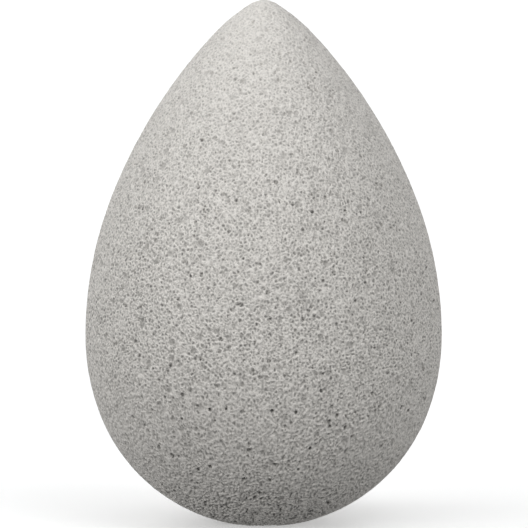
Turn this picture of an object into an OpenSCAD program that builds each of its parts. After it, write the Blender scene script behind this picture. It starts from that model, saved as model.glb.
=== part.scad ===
// Teardrop makeup sponge, moulded as one piece of open-cell foam.
// Its section is a chain of six arcs, each tangent to the next, turned about the upright axis.
// It stands on its round end, where its own weight presses a small flat into the soft foam.

/* [Overall size] */
// Height of the free sponge, from its round end to its tip
sponge_h = 60; // [57:0.5:66]
// Diameter at the widest section
sponge_d = 40.6; // [38:0.2:43]
// Height of the widest section above the round end
belly_h = 21.7; // [20:0.1:23]

/* [Tip] */
// Radius of the nose at the very tip
nose_r = 2.8; // [2:0.1:4]
// Radius of the crown, which widens below the nose
crown_r = 21; // [16:0.5:26]

/* [Arc joins] */
// Angle below the widest section at which the round end gives way to the belly
round_end_angle = 22; // [16:1:28]
// Angle above the widest section at which the shoulder gives way to the flank
shoulder_angle = 21; // [18:1:24]
// Angle above the widest section at which the flank gives way to the crown
flank_angle = 43; // [41:1:45]
// Angle above the widest section at which the crown gives way to the nose
crown_angle = 58; // [55:1:62]

/* [Resting face] */
// Depth of the flat on which the sponge stands
rest_depth = 0.5; // [0.2:0.1:1.5]

/* [Hidden] */
$fn = 180;

// Colour of the dry foam
foam_colour = [0.76, 0.75, 0.73];

// How far the wedge that cuts out an arc reaches, as a share of the arc's radius
wedge_reach_share = 1.6;
// Radius of the core that closes the section along its axis, as a share of the nose's radius
core_share = 0.5;
// Angle by which the tighter of two neighbouring arcs laps under the wider one
lap_angle = 4;
// How far a tighter arc stands proud of a wider one, so that two neighbours cross in one clean edge
lap_rise = 0.0002;

// Directions on the section are angles of the outline's normal: 0 points out sideways at the
// widest section, 90 up along the axis and -90 down.
function direction(angle) = [cos(angle), sin(angle)];

// Way that an arc of radius r covers between two normals, as [inwards, upwards]
function arc_span(r, from, to) = r * [cos(from) - cos(to), sin(to) - sin(from)];

// Radii of two tangent arcs that meet at the normal b, when the first starts at the normal a, the
// second ends at c, and the two together cover the given span. A unit arc's span times its radius,
// summed over both arcs, has to give that span, which makes two linear equations.
function arc_pair(a, b, c, span) =
    let (
        first = arc_span(1, a, b),
        second = arc_span(1, b, c),
        area = cross(first, second)
    )
    [cross(span, second) / area, cross(first, span) / area];

// From the widest section down to the lowest point
lower_pair = arc_pair(0, round_end_angle, 90, [sponge_d / 2, belly_h]);
belly_r = lower_pair[0];
round_end_r = lower_pair[1];

// From the widest section up to the crown
upper_span = [sponge_d / 2, sponge_h - belly_h]
    - arc_span(crown_r, flank_angle, crown_angle)
    - arc_span(nose_r, crown_angle, 90);
upper_pair = arc_pair(0, shoulder_angle, flank_angle, upper_span);
shoulder_r = upper_pair[0];
flank_r = upper_pair[1];

// The outline from the lowest point to the tip, as [radius, normal at its start, normal at its end]
ARCS = [
    [round_end_r, -90, -round_end_angle],
    [belly_r, -round_end_angle, 0],
    [shoulder_r, 0, shoulder_angle],
    [flank_r, shoulder_angle, flank_angle],
    [crown_r, flank_angle, crown_angle],
    [nose_r, crown_angle, 90]
];
last_arc = len(ARCS) - 1;

// Centre of an arc. Two tangent arcs have their centres on the normal at which they meet.
function arc_centre(i) =
    i == 0
        ? [0, round_end_r]
        : arc_centre(i - 1) + (ARCS[i - 1][0] - ARCS[i][0]) * direction(ARCS[i][1]);

// Number of arcs in the outline that are wider than the given radius
function wider_arcs(r) = len([for (arc = ARCS) if (arc[0] > r) arc]);

// One arc of the outline, as the wedge of a disc between two normals. It laps under a wider
// neighbour and across the axis.
module arc_wedge(i) {
    r = ARCS[i][0];
    laps_below = i == 0 || r < ARCS[i - 1][0];
    laps_above = i == last_arc || r <= ARCS[i + 1][0];
    from = ARCS[i][1] - (laps_below ? lap_angle : 0);
    to = ARCS[i][2] + (laps_above ? lap_angle : 0);
    reach = r * wedge_reach_share;
    translate(arc_centre(i)) intersection() {
        circle(r + lap_rise * wider_arcs(r));
        polygon([[0, 0], reach * direction(from), reach * direction(to)]);
    }
}

// Half of the free sponge's section, with some overrun across the axis. A slim core closes the
// points on the axis at which wedges come together.
module free_half() {
    core_r = nose_r * core_share;
    for (i = [0 : last_arc]) arc_wedge(i);
    translate([-core_r, 0]) square([2 * core_r, sponge_h - core_r]);
}

// The half section, cut flat at the resting depth and lowered so that the flat is at height zero
module standing_half() {
    translate([0, -rest_depth]) intersection() {
        free_half();
        translate([0, rest_depth]) square([sponge_d, sponge_h]);
    }
}

module foam_body() {
    color(foam_colour) rotate_extrude() standing_half();
}

foam_body();
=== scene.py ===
"""Teardrop makeup sponge of open-cell foam, standing on a pale studio floor.

The body's outline comes from the same sizes as the CAD solid. Its pores are carved into one fine
closed grid. The finish paints shade into those pores and adds the small bubbles and the pinholes
that are finer than that grid, as painted shade with painted highlight between the pinholes.
"""

from __future__ import annotations

import itertools
import logging
import math
from dataclasses import dataclass
from enum import Enum
from typing import Any

import bpy
import numpy as np
from mathutils import Matrix, Vector


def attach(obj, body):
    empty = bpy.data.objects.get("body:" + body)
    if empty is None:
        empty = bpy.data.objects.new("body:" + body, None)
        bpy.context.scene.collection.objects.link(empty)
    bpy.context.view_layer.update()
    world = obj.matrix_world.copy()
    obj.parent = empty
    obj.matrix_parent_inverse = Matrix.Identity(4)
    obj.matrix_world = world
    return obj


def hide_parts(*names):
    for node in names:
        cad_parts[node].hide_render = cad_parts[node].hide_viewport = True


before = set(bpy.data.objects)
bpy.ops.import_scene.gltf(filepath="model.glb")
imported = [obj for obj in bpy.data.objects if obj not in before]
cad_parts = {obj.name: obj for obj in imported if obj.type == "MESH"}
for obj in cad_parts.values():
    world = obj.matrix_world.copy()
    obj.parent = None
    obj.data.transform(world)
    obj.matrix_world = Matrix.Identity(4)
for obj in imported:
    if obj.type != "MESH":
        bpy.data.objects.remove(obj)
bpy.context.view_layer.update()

log = logging.getLogger("makeup_sponge")

MM = 0.001

# Heights on the sponge, in millimetres
TIP_HEIGHT = 59.5
ROUND_END_HEIGHT = 20.0
FOOT_HEIGHT = 5.5


# Outline

# A distance from the axis that keeps a division there from failing
AXIS_GUARD = 1e-12


@dataclass(frozen=True)
class Arc:
    """One arc of the half section.

    Args:
        radius: Radius in millimetres.
        start: Angle of the outline's normal where the arc starts, in radians.
        end: Angle of the normal where it ends.
        centre: Distance from the axis and height of the arc's centre, in millimetres.
    """

    radius: float
    start: float
    end: float
    centre: tuple[float, float]


@dataclass(frozen=True)
class OutlineTrace:
    """Points along the half section, from the middle of the resting flat up to the tip.

    Args:
        turn: Polar angle from the lowest point on a sphere that has the same share of area below.
        reach: Distance from the axis, in millimetres.
        height: Height above the floor, in millimetres.
        lean: Angle of the outline's normal, from straight down to straight up.
    """

    turn: np.ndarray
    reach: np.ndarray
    height: np.ndarray
    lean: np.ndarray


@dataclass(frozen=True)
class TeardropOutline:
    """The sponge's half section, six tangent arcs over a small resting flat.

    Lengths are in millimetres, and angles are those of the normal from level, in degrees.

    Args:
        free_height: Height of the whole chain of arcs, before the flat is cut.
        diameter: Greatest diameter.
        belly_height: Height of the greatest diameter over the chain's lowest point.
        nose_radius: Radius of the arc at the tip.
        crown_radius: Radius of the arc next to the nose.
        round_end_angle: Downward angle where the round end meets the belly.
        shoulder_angle: Upward angle where the shoulder meets the flank.
        flank_angle: Upward angle where the flank meets the crown.
        crown_angle: Upward angle where the crown meets the nose.
        rest_depth: What the flat takes off the height.
        points_per_arc: Number of points that an arc is followed with.
    """

    free_height: float = 60.0
    diameter: float = 40.6
    belly_height: float = 21.7
    nose_radius: float = 2.8
    crown_radius: float = 21.0
    round_end_angle: float = 22.0
    shoulder_angle: float = 21.0
    flank_angle: float = 43.0
    crown_angle: float = 58.0
    rest_depth: float = 0.5
    points_per_arc: int = 900

    @staticmethod
    def span(radius: float, start: float, end: float) -> np.ndarray:
        """Gives the way that an arc covers between two normals, as inwards and upwards."""
        return radius * np.array([np.cos(start) - np.cos(end), np.sin(end) - np.sin(start)])

    def tangent_pair(self, start: float, join: float, end: float, way: np.ndarray) -> np.ndarray:
        """Solves the radii of two tangent arcs that together cover a given way.

        A unit arc's way times its radius, summed over both arcs, is the given way.

        Args:
            start: Normal's angle where the first arc starts.
            join: Normal's angle where the arcs meet.
            end: Normal's angle where the second arc ends.
            way: The way inwards and upwards that both cover.

        Returns:
            The two radii.
        """
        units = np.stack([self.span(1.0, start, join), self.span(1.0, join, end)], axis=1)
        return np.linalg.solve(units, way)

    def arcs(self) -> list[Arc]:
        """Works out the chain of arcs from the lowest point to the tip.

        Each arc is tangent to the one before: its centre lies on the line from their meeting point
        to the other's centre, so it moves along their common normal by the change of radius.

        Returns:
            The six arcs in order.
        """
        half = self.diameter / 2
        low, shoulder, flank, crown = np.radians(
            [self.round_end_angle, self.shoulder_angle, self.flank_angle, self.crown_angle]
        )
        up = math.pi / 2
        belly_r, round_end_r = self.tangent_pair(0, low, up, np.array([half, self.belly_height]))
        above = np.array([half, self.free_height - self.belly_height])
        above = above - self.span(self.crown_radius, flank, crown)
        above = above - self.span(self.nose_radius, crown, up)
        shoulder_r, flank_r = self.tangent_pair(0, shoulder, flank, above)
        rows = [
            (round_end_r, -up, -low),
            (belly_r, -low, 0.0),
            (shoulder_r, 0.0, shoulder),
            (flank_r, shoulder, flank),
            (self.crown_radius, flank, crown),
            (self.nose_radius, crown, up),
        ]
        centre = np.array([0.0, round_end_r])
        last_r = round_end_r
        made = []
        for radius, start, end in rows:
            centre = centre + (last_r - radius) * np.array([np.cos(start), np.sin(start)])
            last_r = radius
            made.append(Arc(radius, start, end, (float(centre[0]), float(centre[1]))))
        return made

    def trace(self) -> OutlineTrace:
        """Follows the flat and the arcs, and measures the area that is swept below each point.

        A point on an arc is its centre plus its radius times the direction of the normal. The band
        between two points sweeps their mean distance from the axis times their gap, times a turn.

        Returns:
            The points, with the polar angle that has the same share of area on a sphere.
        """
        parts = []
        for arc in self.arcs():
            lean = np.linspace(arc.start, arc.end, self.points_per_arc)
            reach = arc.centre[0] + arc.radius * np.cos(lean)
            height = arc.centre[1] + arc.radius * np.sin(lean)
            parts.append(np.stack([reach, height, lean]))
        reach, height, lean = np.concatenate(parts, axis=1)
        height = height - self.rest_depth
        standing = height > 0
        rim = float(np.interp(0.0, height, reach))
        flat = np.linspace(0.0, rim, self.points_per_arc)
        reach = np.concatenate([flat, reach[standing]])
        height = np.concatenate([np.zeros_like(flat), height[standing]])
        lean = np.concatenate([np.full_like(flat, -math.pi / 2), lean[standing]])
        reach[-1] = 0.0
        gap = np.hypot(np.diff(reach), np.diff(height))
        swept = np.concatenate([[0.0], np.cumsum(gap * (reach[1:] + reach[:-1]))])
        turn = np.arccos(np.clip(1 - 2 * swept / swept[-1], -1, 1))
        return OutlineTrace(turn, reach, height, lean)

    def place(self, directions: np.ndarray) -> tuple[np.ndarray, np.ndarray]:
        """Carries unit directions onto the sponge, so that equal areas stay equal.

        The way round the axis is kept, and the height is where the sponge has the same share of
        its area below as the sphere has.

        Args:
            directions: Unit vectors, one a row.

        Returns:
            Points on the smooth sponge in millimetres, and its outward normals there.
        """
        trace = self.trace()
        turn = np.arccos(np.clip(-directions[:, 2], -1, 1))
        reach, height, lean = (
            np.interp(turn, trace.turn, values)
            for values in (trace.reach, trace.height, trace.lean)
        )
        from_axis = np.maximum(np.hypot(*directions[:, :2].T), AXIS_GUARD)
        flat_way = directions[:, :2] / from_axis[:, None]
        points = np.column_stack([flat_way * reach[:, None], height])
        normals = np.column_stack([flat_way * np.cos(lean)[:, None], np.sin(lean)])
        return points, normals


# Grid

# The six faces' places on the flat map, side by side and one above the other
MAP_COLUMNS = 3
MAP_ROWS = 2


@dataclass(frozen=True)
class CubeGrid:
    """A closed grid over the sphere, from six square faces of a cube.

    Args:
        cells: Number of cells along each side of a face.
        margin: Gap round each face on the flat map, as a share of the face's place there.
    """

    cells: int
    margin: float = 0.004

    def corners(self) -> tuple[np.ndarray, np.ndarray, np.ndarray]:
        """Lays the six faces out on the cube's lattice and welds their shared edges.

        Each lattice number goes to the tangent of its angle, which evens the cells out, and the
        point is then pushed to unit length.

        Returns:
            Unit directions, the cells as four corner numbers each, and each corner's place on the
            flat map.
        """
        side = self.cells + 1
        first, second = np.meshgrid(np.arange(side), np.arange(side), indexing="ij")
        lattice = []
        quads = []
        places = []
        for number, (axis, end) in enumerate(itertools.product(range(3), (0, self.cells))):
            spot = np.empty((side * side, 3), np.int64)
            spot[:, axis] = end
            spot[:, (axis + 1) % 3] = first.ravel()
            spot[:, (axis + 2) % 3] = second.ravel()
            lattice.append(spot)
            own = np.arange(side * side).reshape(side, side) + number * side * side
            ring = [own[:-1, :-1], own[1:, :-1], own[1:, 1:], own[:-1, 1:]]
            if end == 0:
                ring.reverse()
            quads.append(np.stack(ring, axis=-1).reshape(-1, 4))
            share = np.column_stack([first.ravel(), second.ravel()]) / self.cells
            share = self.margin + share * (1 - 2 * self.margin)
            tile = np.array([number % MAP_COLUMNS, number // MAP_COLUMNS])
            places.append((share + tile) / np.array([MAP_COLUMNS, MAP_ROWS]))
        lattice = np.concatenate(lattice)
        quads = np.concatenate(quads)
        places = np.concatenate(places)
        keys = lattice @ np.array([1, side, side * side])
        _, kept, welded = np.unique(keys, return_index=True, return_inverse=True)
        warped = np.tan((2 * lattice[kept] / self.cells - 1) * math.pi / 4)
        directions = warped / np.linalg.norm(warped, axis=1)[:, None]
        return directions, welded.reshape(-1)[quads], places[quads]


# Pores

# Primes and shifts that mix a cube's three numbers into one that looks random
AXIS_PRIMES = np.array([73856093, 19349663, 83492791])
MIXING_PRIME = 2654435761
FOLDING_SHIFT = 15
MIXING_SHIFT = 7


@dataclass(frozen=True)
class RoundEndStretch:
    """Bubbles of the round end are drawn out along the mould's wall, the more so the lower.

    A pattern is read at a height that falls ever more slowly below the round end's top: the
    height, plus the square of the gap to the top times the stretch over twice the top's height.

    Args:
        top: Height where the stretch starts, in millimetres.
        stretch: How much slower the height falls on the floor, as a share.
    """

    top: float = ROUND_END_HEIGHT
    stretch: float = 0.7

    def rise_factor(self) -> float:
        """Gives what the squared gap in millimetres is multiplied by."""
        return self.stretch / (2 * self.top)

    def undone(self, points: np.ndarray) -> np.ndarray:
        """Gives the places where the patterns are read.

        Args:
            points: Points in millimetres.

        Returns:
            The same points at the height that the formula above gives.
        """
        gap = np.maximum(self.top - points[:, 2], 0)
        height = points[:, 2] + gap ** 2 * self.rise_factor()
        return np.column_stack([points[:, :2], height])


STRETCH = RoundEndStretch()


@dataclass(frozen=True)
class RandomLattice:
    """A lattice of cubes with seeded random numbers in each.

    Args:
        spacing: Side of a cube, in millimetres.
        seed: Seed of the table of random numbers.
        table_bits: The table has two to this power rows.
        row_length: How many random numbers a row of the table has.
    """

    spacing: float
    seed: int
    table_bits: int = 16
    row_length: int = 6

    def table(self) -> np.ndarray:
        """Gives the table of random numbers from 0 to 1."""
        size = (2 ** self.table_bits, self.row_length)
        return np.random.default_rng(self.seed).random(size).astype(np.float32)

    def rows_at(self, cubes: np.ndarray) -> np.ndarray:
        """Picks a row of the table for each cube, as good as at random.

        Each of a cube's three numbers is multiplied by a prime, and their bits are combined,
        folded and mixed once more.

        Args:
            cubes: Three whole numbers a row.

        Returns:
            A row number for each cube.
        """
        first, second, third = (cubes * AXIS_PRIMES).T
        mixed = first ^ second ^ third
        mixed = mixed ^ (mixed >> FOLDING_SHIFT)
        return (mixed * MIXING_PRIME >> MIXING_SHIFT) & (2 ** self.table_bits - 1)

    def smooth_noise(self, points: np.ndarray) -> np.ndarray:
        """Blends the random numbers at a cube's eight corners by an S-curve along each axis.

        The curve is three times the share's square less twice its cube.

        Args:
            points: Points in millimetres.

        Returns:
            A value from 0 to 1 at each point.
        """
        table = self.table()[:, 0]
        scaled = points / self.spacing
        cubes = np.floor(scaled).astype(np.int64)
        share = (scaled - cubes).astype(np.float32)
        share = share * share * (3 - 2 * share)
        total = np.zeros(len(points), np.float32)
        for corner in itertools.product((0, 1), repeat=3):
            weight = np.prod(np.where(corner, share, 1 - share), axis=1)
            total += weight * table[self.rows_at(cubes + np.array(corner))]
        return total


@dataclass(frozen=True)
class BubbleFamily:
    """Bubbles of one size range, which open at the surface as pores.

    Args:
        spacing: Mean distance between bubbles, in millimetres.
        least: Smallest radius, in millimetres.
        most: Largest radius, in millimetres.
        share: Share of the lattice's cubes that hold a bubble.
        seed: Seed of their places and sizes.
        deepest: Greatest depth below the skin, in millimetres.
    """

    spacing: float
    least: float
    most: float
    share: float
    seed: int
    deepest: float

    def depth(self, points: np.ndarray, normals: np.ndarray) -> np.ndarray:
        """Measures how far the skin falls to the far wall of the bubble it cuts.

        A line from the skin straight inwards leaves a bubble where it meets the bubble's far side:
        at the distance to the foot of the centre on that line, plus half the chord. The deepest
        such place counts, and it nears the greatest depth by a hyperbolic tangent.

        Args:
            points: Points on the smooth skin, in millimetres.
            normals: Outward normals there.

        Returns:
            Depth at each point, in millimetres.
        """
        lattice = RandomLattice(self.spacing, self.seed)
        table = lattice.table()
        scaled = points / self.spacing
        cubes = np.floor(scaled).astype(np.int64)
        inside = (scaled - cubes).astype(np.float32)
        normals = normals.astype(np.float32)
        deepest = np.zeros(len(points), np.float32)
        for offset in itertools.product((-1, 0, 1), repeat=3):
            numbers = table[lattice.rows_at(cubes + np.array(offset))]
            away = (inside - numbers[:, :3] - np.array(offset, np.float32)) * self.spacing
            radius = self.least + (self.most - self.least) * numbers[:, 3]
            radius = np.where(numbers[:, 4] < self.share, radius, 0)
            along = np.einsum("ij,ij->i", away, normals)
            room = radius ** 2 - np.einsum("ij,ij->i", away, away)
            chord = np.sqrt(np.maximum(along ** 2 + room, 0))
            found = np.where(room > 0, along + chord, 0)
            np.maximum(deepest, found, out=deepest)
        return self.deepest * np.tanh(deepest / self.deepest)


@dataclass(frozen=True)
class FoamRelief:
    """Everything that departs from the smooth skin, all of it inwards.

    Args:
        fine: The smallest carved pores, all over the skin.
        open: Larger and deeper pores between them.
        wide: Wide shallow pits.
        patches: Patches in which the skin closed over in the mould, or didn't.
        lumps: Soft lumps of the skin.
        lump_depth: Depth between the lumps, in millimetres.
        foot_openness: What the pores' depth is multiplied by at the floor.
        tip_openness: The same at the tip.
        closed_share: Share of the fine pores' depth that a closed patch keeps.
        patch_swing: How much more of it an open patch keeps.
        wide_share: Share of the wide pits' depth that is carved.
        carved_share: Share of all pores' depth that is carved.
        foot_swell: What the last few millimetres add to the openness at the floor.
    """

    fine: BubbleFamily = BubbleFamily(
        spacing=0.25, least=0.10, most=0.18, share=1.0, seed=11, deepest=0.17
    )
    open: BubbleFamily = BubbleFamily(
        spacing=0.66, least=0.13, most=0.27, share=0.5, seed=12, deepest=0.38
    )
    wide: BubbleFamily = BubbleFamily(
        spacing=1.20, least=0.20, most=0.40, share=0.50, seed=13, deepest=0.20
    )
    patches: RandomLattice = RandomLattice(spacing=1.9, seed=21)
    lumps: RandomLattice = RandomLattice(spacing=0.62, seed=22)
    lump_depth: float = 0.035
    foot_openness: float = 1.05
    tip_openness: float = 0.85
    closed_share: float = 0.75
    patch_swing: float = 0.3
    wide_share: float = 0.6
    carved_share: float = 0.85
    foot_swell: float = 1.8

    def depths(self, points: np.ndarray, normals: np.ndarray) -> tuple[np.ndarray, ...]:
        """Adds the bubbles' pores to the skin's soft lumps.

        Fine pores are shallower in patches where the skin closed over in the mould, and all pores
        open up from the tip down to the round end, most of all in the last few millimetres.

        Args:
            points: Points on the smooth skin, in millimetres.
            normals: Outward normals there.

        Returns:
            The whole depth in millimetres, the depth of the fine and open pores before it is
            scaled for carving, and how far into a wide pit each point is, from 0 on the skin to 1
            on the pit's floor.
        """
        climb = points[:, 2] / TIP_HEIGHT
        near_foot = np.maximum(1 - points[:, 2] / FOOT_HEIGHT, 0)
        openness = self.foot_openness + (self.tip_openness - self.foot_openness) * climb
        openness = openness + self.foot_swell * near_foot
        points = STRETCH.undone(points)
        open_share = self.closed_share + self.patch_swing * self.patches.smooth_noise(points)
        pores = self.fine.depth(points, normals) * open_share
        pores = np.maximum(pores, self.open.depth(points, normals)) * openness
        wide = self.wide.depth(points, normals)
        lumps = self.lump_depth * self.lumps.smooth_noise(points)
        carved = (pores + wide * self.wide_share * openness) * self.carved_share
        return carved + lumps, pores, wide / self.wide.deepest


# Shader maths

# Where a noise texture has its middle
NOISE_MIDDLE = 0.5


class Wire:
    """A node's output. Python's arithmetic on it adds Math nodes."""

    def __init__(self, tree: "ShaderTree", socket: bpy.types.NodeSocket | None) -> None:
        """Keeps the tree and the socket, which is None for a node without outputs."""
        self.tree = tree
        self.socket = socket

    def math(self, operation: str, first: Any, second: Any) -> "Wire":
        """Adds a Math node of that operation on two values or wires."""
        settings = {"operation": operation}
        return self.tree.node("ShaderNodeMath", settings, {0: first, 1: second})

    def at_least(self, least: float) -> "Wire":
        """Gives the value, or the least one where the value is below it."""
        return self.math("MAXIMUM", self, least)

    def __add__(self, other: Any) -> "Wire":
        """Adds."""
        return self.math("ADD", self, other)

    def __sub__(self, other: Any) -> "Wire":
        """Subtracts."""
        return self.math("SUBTRACT", self, other)

    def __rsub__(self, other: Any) -> "Wire":
        """Subtracts from a number."""
        return self.math("SUBTRACT", other, self)

    def __mul__(self, other: Any) -> "Wire":
        """Multiplies."""
        return self.math("MULTIPLY", self, other)

    __radd__ = __add__
    __rmul__ = __mul__


class ShaderTree:
    """A node tree that is emptied first and then filled through one method."""

    def __init__(self, tree: bpy.types.NodeTree) -> None:
        """Empties the tree."""
        tree.nodes.clear()
        self.tree = tree

    def node(
        self,
        kind: str,
        settings: dict[str, Any] | None = None,
        inputs: dict[Any, Any] | None = None,
        output: Any = 0,
    ) -> Wire:
        """Adds a node, sets it up and links it.

        Args:
            kind: The node's type.
            settings: Its settings, which are set before its sockets.
            inputs: Values or wires by the socket's identifier or number.
            output: Identifier or number of the output that is wanted.

        Returns:
            That output as a wire.
        """
        made = self.tree.nodes.new(kind)
        for name, value in (settings or {}).items():
            setattr(made, name, value)
        for name, value in (inputs or {}).items():
            socket = self.find(made.inputs, name)
            if isinstance(value, Wire):
                self.tree.links.new(value.socket, socket)
            else:
                socket.default_value = value
        outputs = made.outputs
        return Wire(self, self.find(outputs, output) if len(outputs) else None)

    @staticmethod
    def find(sockets: Any, name: Any) -> bpy.types.NodeSocket:
        """Finds one of a node's sockets.

        Args:
            sockets: The node's inputs or its outputs.
            name: The socket's number or its identifier.

        Returns:
            The socket.
        """
        if isinstance(name, int):
            return sockets[name]
        return next(socket for socket in sockets if socket.identifier == name)

    def mix(self, share: Any, first: Any, second: Any) -> Wire:
        """Blends two colours.

        Args:
            share: Share of the second colour, which is kept between 0 and 1.
            first: Colour at a share of 0.
            second: Colour at a share of 1.

        Returns:
            The blend.
        """
        settings = {"data_type": "RGBA", "clamp_factor": True}
        inputs = {"Factor_Float": share, "A_Color": first, "B_Color": second}
        return self.node("ShaderNodeMix", settings, inputs, "Result_Color")


def opaque(colour: tuple[float, float, float]) -> tuple[float, float, float, float]:
    """Gives a colour its fourth number, full opacity."""
    return (*colour, 1.0)


class PoreAttribute(Enum):
    """Numbers that the body's vertices carry, by which the finish paints shade into the pores and
    pits.
    """

    DEPTH = "pore_depth"
    PIT = "pit_share"


class CellPattern(Enum):
    """What a pattern of random cells measures, as a share of the cells' size."""

    TO_SEED = "F1"
    TO_WALL = "DISTANCE_TO_EDGE"


@dataclass(frozen=True)
class FoamFinish:
    """Dry light grey foam, matte and slightly warm, with shade painted into its pores.

    A tone here is a share of the way from the skin's colour to the painted shade's colour.

    Args:
        skin: Colour of the skin.
        pore_shade: Colour of the painted shade in the deepest pores.
        full_shade_depth: Depth in millimetres at which a carved pit is painted in that shade.
        bubble_size: Mean size of the small bubbles, in millimetres.
        bubble_wall: Distance from a bubble's wall at which it is neither lighter nor darker.
        bubble_shade: Painted shade that a bubble gains over its own size, from that distance
            inwards.
        bubble_depth: Depth in millimetres that it gains over its own size.
        bump_strength: How fully the surface takes on that depth.
        pinhole_size: Mean size of the pinholes, in millimetres.
        pinhole_edge: Distance from a pinhole's middle at which it is neither lighter nor darker.
        pinhole_shade_and_highlight: Tone a pinhole loses from its middle outwards: painted shade
            inside, painted highlight beyond its edge.
        cell_scatter: How far the bubbles and the pinholes are out of line.
        pit_shade: Painted shade that the floor of a wide pit adds.
        pit_calm: Share of the other tones that it takes away.
        foot_pit_shade: What the pit's painted shade gains at the floor.
        foot_lift: Tone that is taken away at the floor, to make up for the wider pores there.
        low_pore_shade: Painted shade that the square of the pores' depth adds half way up the
            round end.
        low_tone: Tone of even painted shade that the foam nears there.
        low_calm: How near it comes to that tone, as a share.
        foot_shade_factor: What all this painted shade is multiplied by at the floor.
        tip_shade_factor: The same at the tip.
        mottle_size: Size of the mottle's patches, in millimetres.
        mottle_detail: How many finer layers the mottle has.
        mottle_roughness: How strong the finer layers are.
        mottle_tone: Difference of tone between its two ends.
        roughness: Mean roughness of the surface.
        roughness_swing: Difference of roughness between the mottle's two ends.
        specular: Level of the sharp reflection.
        sheen: Weight of the soft glow at the edges.
        sheen_roughness: How wide that glow is.
    """

    skin: tuple[float, float, float] = (0.848, 0.818, 0.772)
    # Colour of painted shade in the pores, not a colour of the foam, and the depth that reaches it
    pore_shade: tuple[float, float, float] = (0.10, 0.097, 0.09)
    full_shade_depth: float = 0.60
    bubble_size: float = 0.44
    bubble_wall: float = 0.024
    # Painted shade inside the small bubbles
    bubble_shade: float = 1.40
    bubble_depth: float = 0.12
    bump_strength: float = 1.0
    pinhole_size: float = 0.26
    pinhole_edge: float = 0.58
    # Painted shade in the pinholes and painted highlight on the walls between them
    pinhole_shade_and_highlight: float = 0.50
    cell_scatter: float = 1.0
    # Painted shade on the wide pits' floors, more of it near the floor
    pit_shade: float = 0.42
    pit_calm: float = 0.75
    foot_pit_shade: float = 1.7
    foot_lift: float = 0.21
    # More painted shade in deep pores half way up the round end, evened towards one tone
    low_pore_shade: float = 6.5
    low_tone: float = 0.115
    low_calm: float = 0.34
    # Painted shade is strongest at the floor and weakest at the tip, as under light from above
    foot_shade_factor: float = 1.08
    tip_shade_factor: float = 0.46
    mottle_size: float = 2.5
    mottle_detail: float = 3.0
    mottle_roughness: float = 0.6
    mottle_tone: float = 0.06
    roughness: float = 0.9
    roughness_swing: float = 0.1
    specular: float = 0.25
    sheen: float = 0.12
    sheen_roughness: float = 0.6

    @staticmethod
    def carried(tree: ShaderTree, attribute: PoreAttribute) -> Wire:
        """Reads a number that the vertices carry."""
        settings = {"attribute_name": attribute.value}
        return tree.node("ShaderNodeAttribute", settings, output="Fac")

    def cells(self, tree: ShaderTree, spot: Wire, pattern: CellPattern, size: float) -> Wire:
        """Adds a pattern of random cells.

        Args:
            tree: The tree that gets it.
            spot: Where the pattern is read.
            pattern: What it measures.
            size: Mean size of a cell, in millimetres.

        Returns:
            The distance, as a share of the size.
        """
        settings = {"feature": pattern.value, "voronoi_dimensions": "3D"}
        inputs = {"Vector": spot, "Scale": 1 / (size * MM), "Randomness": self.cell_scatter}
        return tree.node("ShaderNodeTexVoronoi", settings, inputs, "Distance")

    def mottle(self, tree: ShaderTree, spot: Wire) -> Wire:
        """Adds a slow noise that swings to either side of nothing.

        Args:
            tree: The tree that gets it.
            spot: Where the noise is read.

        Returns:
            A value from minus a half to a half.
        """
        settings = {"noise_dimensions": "3D"}
        inputs = {
            "Vector": spot,
            "Scale": 1 / (self.mottle_size * MM),
            "Detail": self.mottle_detail,
            "Roughness": self.mottle_roughness,
        }
        return tree.node("ShaderNodeTexNoise", settings, inputs) - NOISE_MIDDLE

    @staticmethod
    def read_spot(tree: ShaderTree, spot: Wire, height: Wire) -> Wire:
        """Gives the place where the patterns are read, drawn out as the mesh's own pores are.

        Args:
            tree: The tree that gets it.
            spot: The place on the body, in metres.
            height: Its height, in metres.

        Returns:
            The place with its height shifted.
        """
        gap = (STRETCH.top * MM - height).at_least(0.0)
        shift = gap * gap * (STRETCH.rise_factor() / MM)
        lift = tree.node("ShaderNodeCombineXYZ", {}, {"Z": shift})
        inputs = {0: spot, 1: lift}
        return tree.node("ShaderNodeVectorMath", {"operation": "ADD"}, inputs, "Vector")

    @staticmethod
    def nearness(height: Wire, band: float) -> Wire:
        """Gives 1 at the floor, falling evenly to 0 at the top of a band in millimetres."""
        return (1 - height * (1 / (band * MM))).at_least(0.0)

    def painted_shade_share(self, tree: ShaderTree, spot: Wire, height: Wire, bubble: Wire) -> Wire:
        """Adds up painted shade in pores, bubbles, pinholes and pits, and painted highlight
        between them.

        The pits' floors are calmer and take painted shade of their own, which grows towards the
        floor.
        Half way up the round end, deep pores take more painted shade with the square of their
        depth and everything nears one tone. That effect is four times the nearness to the floor
        times what it lacks to 1. At last all painted shade and highlight is scaled from the foot's
        factor to the tip's with the cube of the height's share.

        Args:
            tree: The tree that gets it.
            spot: Where the patterns are read.
            height: The height on the body, in metres.
            bubble: Distance from the small bubbles' walls.

        Returns:
            The tone.
        """
        depth = self.carried(tree, PoreAttribute.DEPTH)
        pit = self.carried(tree, PoreAttribute.PIT)
        pinhole = self.cells(tree, spot, CellPattern.TO_SEED, self.pinhole_size)
        # Painted shade in the carved pores, darker the deeper they are
        tone = depth * (1 / self.full_shade_depth)
        # Painted shade inside the small bubbles, darkest in their middles
        tone = tone + (bubble - self.bubble_wall) * self.bubble_shade
        # Painted shade in the pinholes and painted highlight on the walls between them
        tone = tone + (self.pinhole_edge - pinhole) * self.pinhole_shade_and_highlight
        foot = self.nearness(height, FOOT_HEIGHT)
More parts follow.
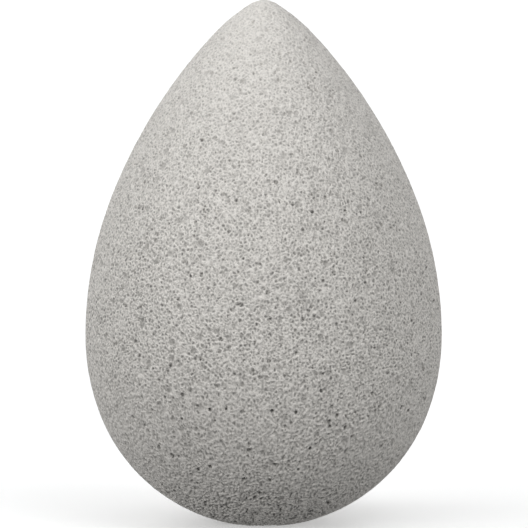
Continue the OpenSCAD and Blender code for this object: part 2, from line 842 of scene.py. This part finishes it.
        # The wide pits' floors grow calmer and take painted shade of their own, more near the
        # floor
        tone = tone * (1 - pit * self.pit_calm)
        tone = tone + pit * (foot * self.foot_pit_shade + self.pit_shade)
        tone = tone - foot * self.foot_lift
        # Half way up the round end, deep pores take more painted shade and all of it nears one
        # tone
        low = self.nearness(height, ROUND_END_HEIGHT)
        low = low * (1 - low) * 4
        tone = tone + depth * depth * (low * self.low_pore_shade)
        tone = tone + (self.low_tone - tone) * (low * self.low_calm)
        # Painted shade is scaled from strongest at the floor to weakest at the tip, as under light
        # from above
        climb = height * (1 / (TIP_HEIGHT * MM))
        return tone * (self.foot_shade_factor - climb * climb * climb * (self.foot_shade_factor - self.tip_shade_factor))

    def material(self) -> bpy.types.Material:
        """Makes the material.

        Small bubbles take painted shade and dent the skin from their thin walls to their middles,
        on top of the painted shade in the pores that the mesh carries, and pinholes of painted
        shade, with painted highlight between them, break the walls up. A slow mottle shifts the
        tone and the roughness by a few percent.

        Returns:
            The finished material.
        """
        made = bpy.data.materials.new("grey_foam")
        made.use_nodes = True
        tree = ShaderTree(made.node_tree)
        spot = tree.node("ShaderNodeTexCoord", output="Object")
        height = tree.node("ShaderNodeSeparateXYZ", {}, {0: spot}, "Z")
        spot = self.read_spot(tree, spot, height)
        bubble = self.cells(tree, spot, CellPattern.TO_WALL, self.bubble_size)
        mottle = self.mottle(tree, spot)
        tone = self.painted_shade_share(tree, spot, height, bubble) + mottle * self.mottle_tone
        bump = {
            "Height": bubble,
            "Distance": self.bubble_depth * MM,
            "Strength": self.bump_strength,
        }
        # The base colour carries all the painted shade and painted highlight of the finish
        surface = {
            "Base Color": tree.mix(tone, opaque(self.skin), opaque(self.pore_shade)),
            "Roughness": self.roughness + mottle * self.roughness_swing,
            "Normal": tree.node("ShaderNodeBump", {"invert": True}, bump),
            "Specular IOR Level": self.specular,
            "Sheen Weight": self.sheen,
            "Sheen Roughness": self.sheen_roughness,
        }
        shader = tree.node("ShaderNodeBsdfPrincipled", {}, surface)
        tree.node("ShaderNodeOutputMaterial", {}, {"Surface": shader})
        return made


# Meshes

def mesh_from_cells(name: str, points: np.ndarray, cells: np.ndarray) -> bpy.types.Mesh:
    """Puts whole arrays of points and four-cornered cells into a new smooth mesh.

    Args:
        name: The mesh's name.
        points: Points in metres.
        cells: Four point numbers a row.

    Returns:
        The mesh.
    """
    mesh = bpy.data.meshes.new(name)
    mesh.vertices.add(len(points))
    mesh.vertices.foreach_set("co", points.astype(np.float32).ravel())
    mesh.loops.add(cells.size)
    mesh.loops.foreach_set("vertex_index", cells.astype(np.int32).ravel())
    mesh.polygons.add(len(cells))
    mesh.polygons.foreach_set("loop_start", np.arange(0, cells.size, 4, dtype=np.int32))
    mesh.update(calc_edges=True)
    mesh.shade_smooth()
    return mesh


def shown(name: str, mesh: bpy.types.Mesh, material: bpy.types.Material) -> bpy.types.Object:
    """Puts a mesh with its material into the scene, at the origin.

    Args:
        name: The object's name.
        mesh: Its mesh.
        material: The mesh's material.

    Returns:
        The object.
    """
    mesh.materials.append(material)
    made = bpy.data.objects.new(name, mesh)
    bpy.context.scene.collection.objects.link(made)
    return made


@dataclass(frozen=True)
class FoamBody:
    """The one piece of foam that the sponge is.

    Args:
        outline: Its smooth outline.
        relief: The pores and lumps of its skin.
        finish: Its finish.
        cells: Cells along each side of a grid's face.
        fill: How tightly it is filled, from 0 to 1. Not used.
    """

    outline: TeardropOutline = TeardropOutline()
    relief: FoamRelief = FoamRelief()
    finish: FoamFinish = FoamFinish()
    cells: int = 360
    quick_cells: int = 200
    fill: float = 0.9

    def build(self) -> bpy.types.Object:
        """Carves the pores into the outline's surface, dresses it and seats it on its body.

        A point is the skin's point less its normal times the depth there, and no point is below
        the floor.

        Returns:
            The foam body, which stands for the CAD solid.
        """
        grid = CubeGrid(self.cells)
        directions, quads, places = grid.corners()
        skin, normals = self.outline.place(directions)
        depth, pores, pits = self.relief.depths(skin, normals)
        carved = skin - normals * depth[:, None]
        carved[:, 2] = np.maximum(carved[:, 2], 0)
        mesh = mesh_from_cells("foam", carved * MM, quads)
        flat_map = mesh.uv_layers.new(name="OFBake")
        flat_map.uv.foreach_set("vector", places.astype(np.float32).ravel())
        # The finish paints shade into the pores and pits by these numbers
        for attribute, values in ((PoreAttribute.DEPTH, pores), (PoreAttribute.PIT, pits)):
            carried = mesh.attributes.new(attribute.value, "FLOAT", "POINT")
            carried.data.foreach_set("value", values.astype(np.float32))
        body = shown("foam", mesh, self.finish.material())
        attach(body, "root")
        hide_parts("foam_body")
        return body


# Studio

def way_out(azimuth: float, elevation: float) -> np.ndarray:
    """Gives the unit vector from the sponge towards a camera or a light at those angles."""
    turn, rise = math.radians(azimuth), math.radians(elevation)
    return np.array(
        [math.sin(turn) * math.cos(rise), -math.cos(turn) * math.cos(rise), math.sin(rise)]
    )


def face_along(made: bpy.types.Object, place: np.ndarray, back: np.ndarray) -> None:
    """Puts an object at a place with its back along a vector, upright."""
    made.location = Vector(place)
    made.rotation_euler = Vector(back).to_track_quat("Z", "Y").to_euler()


@dataclass(frozen=True)
class Softbox:
    """A large soft light, so far off that it falls evenly on the sponge and the floor.

    Args:
        name: The light's name.
        azimuth: Angle round the object in degrees, 0 at the camera and 90 to its right.
        elevation: Angle above the floor in degrees, or below it where it is negative.
        strength: Light that falls on a surface that faces it, in watts a square metre.
        width: How wide the light looks from the sponge, in degrees.
    """

    name: str
    azimuth: float
    elevation: float
    strength: float
    width: float = 40.0

    def build(self) -> None:
        """Makes the light and turns it towards the sponge."""
        lamp = bpy.data.lights.new(self.name, "SUN")
        lamp.angle = math.radians(self.width)
        lamp.energy = self.strength
        made = bpy.data.objects.new(self.name, lamp)
        bpy.context.scene.collection.objects.link(made)
        back = way_out(self.azimuth, self.elevation)
        face_along(made, back, back)


@dataclass(frozen=True)
class Studio:
    """Pale floor that sweeps up all round, and soft lights.

    Args:
        lights: The lights.
        floor_radius: Radius of the flat floor, in metres.
        sweep_radius: Radius of the quarter circle by which it sweeps up, in metres.
        floor_rings: Number of rings that the flat floor is made of.
        sweep_rings: Number of rings that the sweep is made of.
        floor_sides: Number of sides of a ring.
        floor_drop: Gap between the sponge and the floor, in metres.
        floor_colour: Colour of the floor.
        floor_roughness: Roughness of the floor.
        floor_glow: Light that the floor gives off, which keeps it pale.
        sky: Colour of the room's light from straight above.
        ground: Colour of the room's light from straight below.
        room_strength: Strength of the room's light.
    """

    lights: tuple[Softbox, ...] = (
        Softbox("top_light", azimuth=0, elevation=88, strength=0.27),
        Softbox("front_left_light", azimuth=-45, elevation=14, strength=1.37),
        Softbox("front_right_light", azimuth=45, elevation=14, strength=0.66),
        Softbox("high_left_light", azimuth=-90, elevation=50, strength=0.48),
        Softbox("high_right_light", azimuth=45, elevation=50, strength=0.52),
        Softbox("low_left_light", azimuth=-135, elevation=-25, strength=0.22),
        Softbox("low_right_light", azimuth=90, elevation=-25, strength=0.32),
        Softbox("back_light", azimuth=180, elevation=14, strength=0.90),
    )
    floor_radius: float = 1.6
    sweep_radius: float = 0.8
    floor_rings: int = 8
    sweep_rings: int = 24
    floor_sides: int = 96
    floor_drop: float = 0.00002
    floor_colour: tuple[float, float, float] = (0.86, 0.86, 0.855)
    floor_roughness: float = 0.9
    floor_glow: float = 0.42
    sky: tuple[float, float, float] = (0.293, 0.30, 0.311)
    ground: tuple[float, float, float] = (0.05, 0.05, 0.05)
    room_strength: float = 1.0

    def floor(self) -> None:
        """Carries a profile, a flat and then a quarter circle up, round the upright axis.

        A point is its ring's reach times the cosine and the sine of its turn, at the ring's
        height. The floor doesn't throw light or shadow on the sponge.
        """
        rise = np.linspace(0, math.pi / 2, self.sweep_rings + 1)[1:]
        flat = np.linspace(0, self.floor_radius, self.floor_rings + 1)[1:]
        reach = np.concatenate([flat, self.floor_radius + self.sweep_radius * np.sin(rise)])
        height = np.concatenate([flat * 0, self.sweep_radius * (1 - np.cos(rise))])
        turns = np.linspace(0, 2 * math.pi, self.floor_sides + 1)[:-1]
        ring = np.stack([np.cos(turns), np.sin(turns)], axis=-1)
        places = reach[:, None, None] * ring[None]
        heights = np.broadcast_to(height[:, None, None], (*places.shape[:2], 1))
        points = np.concatenate([places, heights], axis=-1).reshape(-1, 3)
        number = np.arange(len(points)).reshape(len(reach), len(turns))
        onward = np.roll(number, -1, axis=1)
        cells = np.stack([number[:-1], number[1:], onward[1:], onward[:-1]], axis=-1)
        mesh = bpy.data.meshes.new("floor")
        middle = tuple(number[0].tolist())
        mesh.from_pydata(points.tolist(), [], [middle, *cells.reshape(-1, 4).tolist()])
        mesh.transform(Matrix.Translation((0, 0, -self.floor_drop)))
        mesh.shade_smooth()
        made = shown("floor", mesh, self.floor_material())
        made.visible_diffuse = False
        made.visible_shadow = False

    def floor_material(self) -> bpy.types.Material:
        """Makes the floor's plain matte paint.

        Returns:
            The material.
        """
        made = bpy.data.materials.new("pale_floor")
        made.use_nodes = True
        tree = ShaderTree(made.node_tree)
        inputs = {
            "Base Color": opaque(self.floor_colour),
            "Roughness": self.floor_roughness,
            "Emission Color": opaque(self.floor_colour),
            "Emission Strength": self.floor_glow,
        }
        surface = tree.node("ShaderNodeBsdfPrincipled", {}, inputs)
        tree.node("ShaderNodeOutputMaterial", {}, {"Surface": surface})
        return made

    def world(self) -> None:
        """Lights the room from all round, more from above than from below.

        The sky's share of the colour is half of how far a direction points up, plus a half.
        """
        made = bpy.data.worlds.new("studio")
        made.use_nodes = True
        tree = ShaderTree(made.node_tree)
        spot = tree.node("ShaderNodeTexCoord", output="Generated")
        height = tree.node("ShaderNodeSeparateXYZ", {}, {0: spot}, "Z")
        share = height * 0.5 + 0.5
        colour = tree.mix(share, opaque(self.ground), opaque(self.sky))
        inputs = {"Color": colour, "Strength": self.room_strength}
        glow = tree.node("ShaderNodeBackground", {}, inputs)
        tree.node("ShaderNodeOutputWorld", {}, {"Surface": glow})
        bpy.context.scene.world = made

    def build(self) -> None:
        """Makes the floor, the room's light, the lights and the colour handling."""
        self.floor()
        self.world()
        for light in self.lights:
            light.build()
            log.info("light %s", light.name)
        bpy.context.scene.view_settings.view_transform = "Standard"


@dataclass(frozen=True)
class PhotoCamera:
    """A long lens that frames the sponge from tip to resting face.

    Args:
        elevation: Angle above the floor, in degrees.
        distance: Distance from the point that it looks at, in metres.
        sensor: Side of the sensor, in millimetres.
        frame_height: Height that the frame takes in at that distance, in millimetres.
        aim_across: How far right of the axis it looks, in millimetres.
        aim_height: How high it looks, in millimetres.
    """

    elevation: float = 5.0
    distance: float = 0.6
    sensor: float = 36.0
    frame_height: float = 60.05
    aim_across: float = 0.045
    aim_height: float = 29.45

    def build(self) -> None:
        """Places the camera and makes it the scene's own.

        The lens is the sensor's side times the distance over the height that the frame takes in.
        """
        data = bpy.data.cameras.new("camera")
        data.sensor_width = self.sensor
        data.lens = self.sensor * self.distance / (self.frame_height * MM)
        made = bpy.data.objects.new("camera", data)
        bpy.context.scene.collection.objects.link(made)
        back = way_out(0, self.elevation)
        aim = np.array([self.aim_across, 0, self.aim_height]) * MM
        face_along(made, aim + back * self.distance, back)
        bpy.context.scene.camera = made


def main() -> None:
    """Builds the camera, the foam body and the studio."""
    logging.basicConfig(level=logging.INFO, format="%(name)s: %(message)s")
    PhotoCamera().build()
    log.info("camera")
    body = FoamBody().build()
    log.info("foam body, %d cells", len(body.data.polygons))
    Studio().build()
    log.info("studio")


if __name__ == "__main__":
    main()
